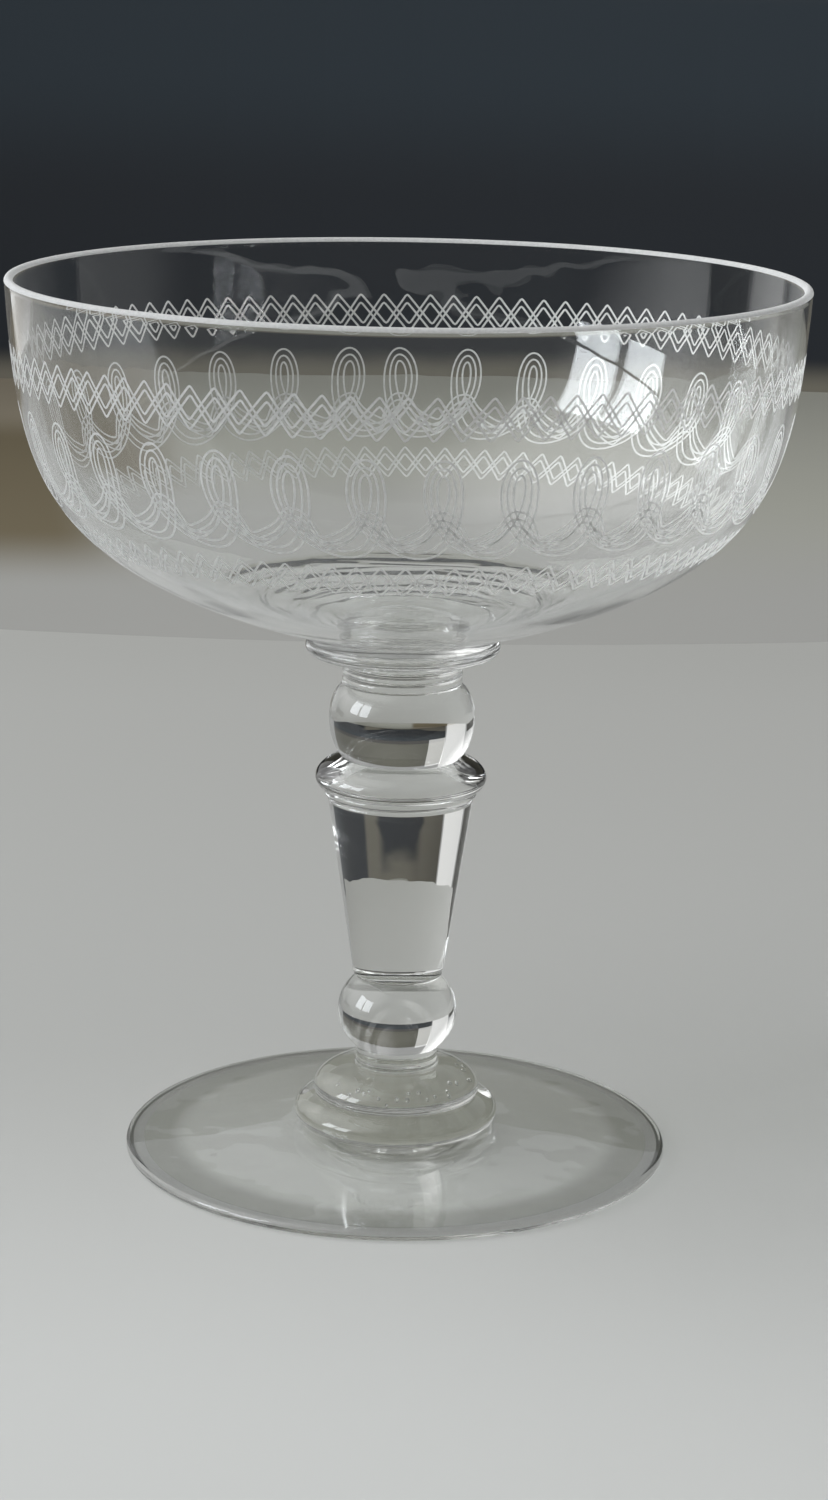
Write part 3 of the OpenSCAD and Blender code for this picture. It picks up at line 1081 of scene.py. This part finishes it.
def curved_screen(name, high, from_degrees, to_degrees, columns):
    """A screen that is part of a drum round the glass. 0 is behind it, 90 to its right."""
    bm = bmesh.new()
    turn = to_degrees - from_degrees
    angles = [math.radians(from_degrees + turn * k / columns) for k in range(columns + 1)]
    low, top = [[bm.verts.new((far_r * math.sin(a), far_r * math.cos(a), height))
                 for a in angles] for height in (ground_z - overlap, high)]
    for k in range(columns):
        bm.faces.new((low[k], low[k + 1], top[k + 1], top[k]))
    return stage_piece(name, bm, screen_finish)


screen = curved_screen("screen", 1.10, -27, 60, 48)
flag = curved_screen("dark_flag", 0.15, -75, -54, 12)
print("stage:", floor.name, ground.name, screen.name, flag.name)

# %% [markdown]
# ## Light of the room
#
# The room round the glass is a soft even grey, darker on the camera's side, with a broad
# bright patch high on the left. Lamps alone would leave the glass black wherever it mirrors
# the empty room, so the world carries this light.

# %% Room light
world = bpy.data.worlds.new("room")
bpy.context.scene.world = world
world.use_nodes = True
sky = world.node_tree
sky.nodes.clear()
direction = add_node(sky, "ShaderNodeTexCoord", (-900, 0)).outputs["Generated"]
split = add_node(sky, "ShaderNodeSeparateXYZ", (-700, 0))
toward = add_node(sky, "ShaderNodeVectorMath", (-700, 300), operation="DOT_PRODUCT")
toward.inputs[1].default_value = (-0.74, 0.05, 0.67)
ramp = add_node(sky, "ShaderNodeValToRGB", (-250, 0))
low, high = ramp.color_ramp.elements
low.position, low.color = 0.40, (0.28, 0.28, 0.27, 1)
high.position, high.color = 1.0, (0.38, 0.385, 0.39, 1)
for position, grey_level in ((0.50, 0.34), (0.80, 0.36)):
    stop = ramp.color_ramp.elements.new(position)
    stop.color = (grey_level, grey_level * 1.01, grey_level * 1.02, 1)
wire(sky, direction, split.inputs["Vector"], direction, toward.inputs[0],
     ranged(sky, split.outputs["Z"], -1, 1, (-500, 0)), ramp.inputs["Fac"])
front_low = add_node(sky, "ShaderNodeMath", (-250, -300), operation="MULTIPLY")
wire(sky, zone(sky, split.outputs["Y"], 0.05, -0.35, (-500, -250)), front_low.inputs[0],
     zone(sky, split.outputs["Z"], 0.75, 0.55, (-500, -450)), front_low.inputs[1])
room = blended(sky, front_low.outputs["Value"], ramp.outputs["Color"], (0.06, 0.06, 0.062),
               (-50, -100))
glow = zone(sky, toward.outputs["Value"], 0.60, 0.97, (-500, 300))
room = blended(sky, glow, room, (2.30, 2.31, 2.34), (100, 0))
background = add_node(sky, "ShaderNodeBackground", (250, 0), Strength=1.0)
sky_out = add_node(sky, "ShaderNodeOutputWorld", (450, 0))
wire(sky, room, background.inputs["Color"], background.outputs["Background"],
     sky_out.inputs["Surface"])
print("room:", world.name)

# %% [markdown]
# ## Soft boxes
#
# Two tall soft boxes side by side on the left give the paired highlight on the bowl. Two
# weak ones behind put the thin bright lines on the edges of the stem, and a wide one lights
# the screen and the far ground alone. Point lamps would be simpler, but a highlight has the
# shape of its lamp, and glass shows it.

# %% Lamps
on_glass = Vector((0, 0, 0.08))
cool, white = (0.90, 0.95, 1.0), (1.0, 1.0, 1.0)


def soft_box(name, azimuth, elevation, distance, size, power, colour, target=on_glass):
    """A rectangular lamp that looks at its target. Azimuth 0 is behind, 90 to the left."""
    lamp = bpy.data.lights.new(name, "AREA")
    lamp.shape = "RECTANGLE"
    lamp.size, lamp.size_y = size
    lamp.energy = power
    lamp.color = colour
    a, e = math.radians(azimuth), math.radians(elevation)
    place = target + distance * Vector((-math.sin(a) * math.cos(e),
                                        math.cos(a) * math.cos(e), math.sin(e)))
    box = bpy.data.objects.new(name, lamp)
    box.location = place
    box.rotation_euler = (target - place).to_track_quat("-Z", "Y").to_euler()
    bpy.context.collection.objects.link(box)
    return box


soft_box("soft_box_left_a", 97, 19, 1.25, (0.34, 0.55), 4.6, cool)
soft_box("soft_box_left_b", 116, 19, 1.25, (0.34, 0.55), 4.6, cool)
backdrop_lamp = soft_box("backdrop_lamp", 180, 42, 2.5, (1.60, 0.50), 10.5, white,
                         Vector((0, far_r, -0.17)))
backdrop_lamp.data.spread = math.radians(100)
soft_box("soft_box_behind", 39.5, 14, 1.4, (0.60, 1.20), 1.15, white)
soft_box("soft_box_far", 21.5, 10, 1.5, (0.31, 0.56), 0.28, white)

# %% [markdown]
# ## How far light is followed
#
# Through the bowl and the stem a ray crosses up to a dozen skins. With the usual limits the
# last ones would come out black, so the limits are raised. Adding glow to the glass would
# hide the black too, but would look like fog. The Standard view shows colours as written.

# %% Bounces and view
scene = bpy.context.scene
scene.view_settings.view_transform = "Standard"
scene.cycles.max_bounces = scene.cycles.transmission_bounces = 24
scene.cycles.glossy_bounces = 8
scene.cycles.transparent_max_bounces = 48
print("bounces:", scene.cycles.max_bounces)
